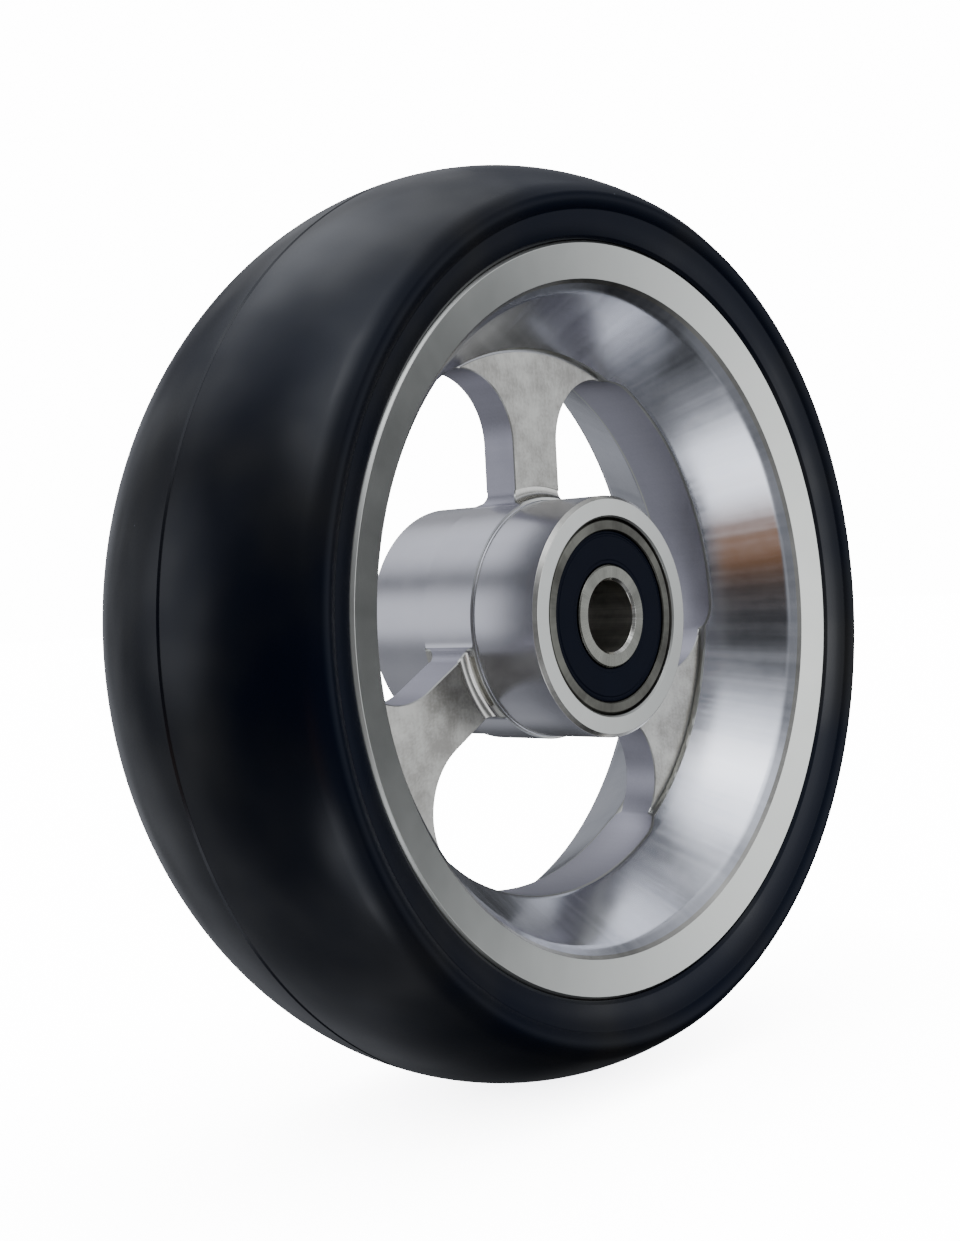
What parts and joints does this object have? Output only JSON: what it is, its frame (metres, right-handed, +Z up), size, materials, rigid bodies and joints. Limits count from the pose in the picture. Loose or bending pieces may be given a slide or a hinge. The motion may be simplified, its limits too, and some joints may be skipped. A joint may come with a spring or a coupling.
{
  "type": "caster wheel",
  "caption": "Crowned soft-roll caster wheel with a spoked aluminium rim, turning on sealed ball bearings around an axle bore.",
  "frame": {"origin": "middle of the wheel, on the axle's centre line", "axes": "+Y along the axle towards the rear face, +Z up along the first spoke"},
  "size_m": [0.1036, 0.0334, 0.1036],
  "materials": {
    "tyre": "glossy cast polyurethane, black with a navy tint",
    "rim": "satin turned faces with polished barrels",
    "bearing_steel": "ground steel",
    "balls": "lapped steel",
    "seal": "smooth moulded rubber",
    "cage": "natural nylon",
    "spacer": "turned"
  },
  "bodies": {
    "axle_side": {"front_inner_ring": "bearing_steel", "rear_inner_ring": "bearing_steel", "bearing_spacer": "spacer"},
    "wheel": {"rim": "rim", "tyre": "tyre", "front_outer_ring": "bearing_steel", "front_outboard_seal": "seal", "front_inboard_seal": "seal", "rear_outer_ring": "bearing_steel", "rear_outboard_seal": "seal", "rear_inboard_seal": "seal"},
    "front_cage": {"front_cage": "cage"},
    "front_ball_1": {"front_ball_1": "balls"},
    "front_ball_2": {"front_ball_2": "balls"},
    "front_ball_3": {"front_ball_3": "balls"},
    "front_ball_4": {"front_ball_4": "balls"},
    "front_ball_5": {"front_ball_5": "balls"},
    "front_ball_6": {"front_ball_6": "balls"},
    "front_ball_7": {"front_ball_7": "balls"},
    "rear_cage": {"rear_cage": "cage"},
    "rear_ball_1": {"rear_ball_1": "balls"},
    "rear_ball_2": {"rear_ball_2": "balls"},
    "rear_ball_3": {"rear_ball_3": "balls"},
    "rear_ball_4": {"rear_ball_4": "balls"},
    "rear_ball_5": {"rear_ball_5": "balls"},
    "rear_ball_6": {"rear_ball_6": "balls"},
    "rear_ball_7": {"rear_ball_7": "balls"}
  },
  "joints": [
    {"name": "wheel_spin", "type": "hinge", "parent": "axle_side", "child": "wheel", "pos_m": [0, 0, 0], "axis": [0, 1, 0], "continuous": true},
    {"name": "front_cage_orbit", "type": "hinge", "parent": "axle_side", "child": "front_cage", "pos_m": [0, -0.0088, 0], "axis": [0, 1, 0], "continuous": true},
    {"name": "front_ball_1_spin", "type": "hinge", "parent": "front_cage", "child": "front_ball_1", "pos_m": [0, -0.0088, 0.0075], "axis": [0, 1, 0], "continuous": true},
    {"name": "front_ball_2_spin", "type": "hinge", "parent": "front_cage", "child": "front_ball_2", "pos_m": [0.00586, -0.0088, 0.00468], "axis": [0, 1, 0], "continuous": true},
    {"name": "front_ball_3_spin", "type": "hinge", "parent": "front_cage", "child": "front_ball_3", "pos_m": [0.00731, -0.0088, -0.00167], "axis": [0, 1, 0], "continuous": true},
    {"name": "front_ball_4_spin", "type": "hinge", "parent": "front_cage", "child": "front_ball_4", "pos_m": [0.00325, -0.0088, -0.00676], "axis": [0, 1, 0], "continuous": true},
    {"name": "front_ball_5_spin", "type": "hinge", "parent": "front_cage", "child": "front_ball_5", "pos_m": [-0.00325, -0.0088, -0.00676], "axis": [0, 1, 0], "continuous": true},
    {"name": "front_ball_6_spin", "type": "hinge", "parent": "front_cage", "child": "front_ball_6", "pos_m": [-0.00731, -0.0088, -0.00167], "axis": [0, 1, 0], "continuous": true},
    {"name": "front_ball_7_spin", "type": "hinge", "parent": "front_cage", "child": "front_ball_7", "pos_m": [-0.00586, -0.0088, 0.00468], "axis": [0, 1, 0], "continuous": true},
    {"name": "rear_cage_orbit", "type": "hinge", "parent": "axle_side", "child": "rear_cage", "pos_m": [0, 0.0088, 0], "axis": [0, 1, 0], "continuous": true},
    {"name": "rear_ball_1_spin", "type": "hinge", "parent": "rear_cage", "child": "rear_ball_1", "pos_m": [0, 0.0088, 0.0075], "axis": [0, 1, 0], "continuous": true},
    {"name": "rear_ball_2_spin", "type": "hinge", "parent": "rear_cage", "child": "rear_ball_2", "pos_m": [0.00586, 0.0088, 0.00468], "axis": [0, 1, 0], "continuous": true},
    {"name": "rear_ball_3_spin", "type": "hinge", "parent": "rear_cage", "child": "rear_ball_3", "pos_m": [0.00731, 0.0088, -0.00167], "axis": [0, 1, 0], "continuous": true},
    {"name": "rear_ball_4_spin", "type": "hinge", "parent": "rear_cage", "child": "rear_ball_4", "pos_m": [0.00325, 0.0088, -0.00676], "axis": [0, 1, 0], "continuous": true},
    {"name": "rear_ball_5_spin", "type": "hinge", "parent": "rear_cage", "child": "rear_ball_5", "pos_m": [-0.00325, 0.0088, -0.00676], "axis": [0, 1, 0], "continuous": true},
    {"name": "rear_ball_6_spin", "type": "hinge", "parent": "rear_cage", "child": "rear_ball_6", "pos_m": [-0.00731, 0.0088, -0.00167], "axis": [0, 1, 0], "continuous": true},
    {"name": "rear_ball_7_spin", "type": "hinge", "parent": "rear_cage", "child": "rear_ball_7", "pos_m": [-0.00586, 0.0088, 0.00468], "axis": [0, 1, 0], "continuous": true}
  ],
  "couplings": [
    {"joint": "front_cage_orbit", "follows": "wheel_spin", "ratio": 0.634},
    {"joint": "front_ball_1_spin", "follows": "wheel_spin", "ratio": 1.8297},
    {"joint": "front_ball_2_spin", "follows": "wheel_spin", "ratio": 1.8297},
    {"joint": "front_ball_3_spin", "follows": "wheel_spin", "ratio": 1.8297},
    {"joint": "front_ball_4_spin", "follows": "wheel_spin", "ratio": 1.8297},
    {"joint": "front_ball_5_spin", "follows": "wheel_spin", "ratio": 1.8297},
    {"joint": "front_ball_6_spin", "follows": "wheel_spin", "ratio": 1.8297},
    {"joint": "front_ball_7_spin", "follows": "wheel_spin", "ratio": 1.8297},
    {"joint": "rear_cage_orbit", "follows": "wheel_spin", "ratio": 0.634},
    {"joint": "rear_ball_1_spin", "follows": "wheel_spin", "ratio": 1.8297},
    {"joint": "rear_ball_2_spin", "follows": "wheel_spin", "ratio": 1.8297},
    {"joint": "rear_ball_3_spin", "follows": "wheel_spin", "ratio": 1.8297},
    {"joint": "rear_ball_4_spin", "follows": "wheel_spin", "ratio": 1.8297},
    {"joint": "rear_ball_5_spin", "follows": "wheel_spin", "ratio": 1.8297},
    {"joint": "rear_ball_6_spin", "follows": "wheel_spin", "ratio": 1.8297},
    {"joint": "rear_ball_7_spin", "follows": "wheel_spin", "ratio": 1.8297}
  ]
}
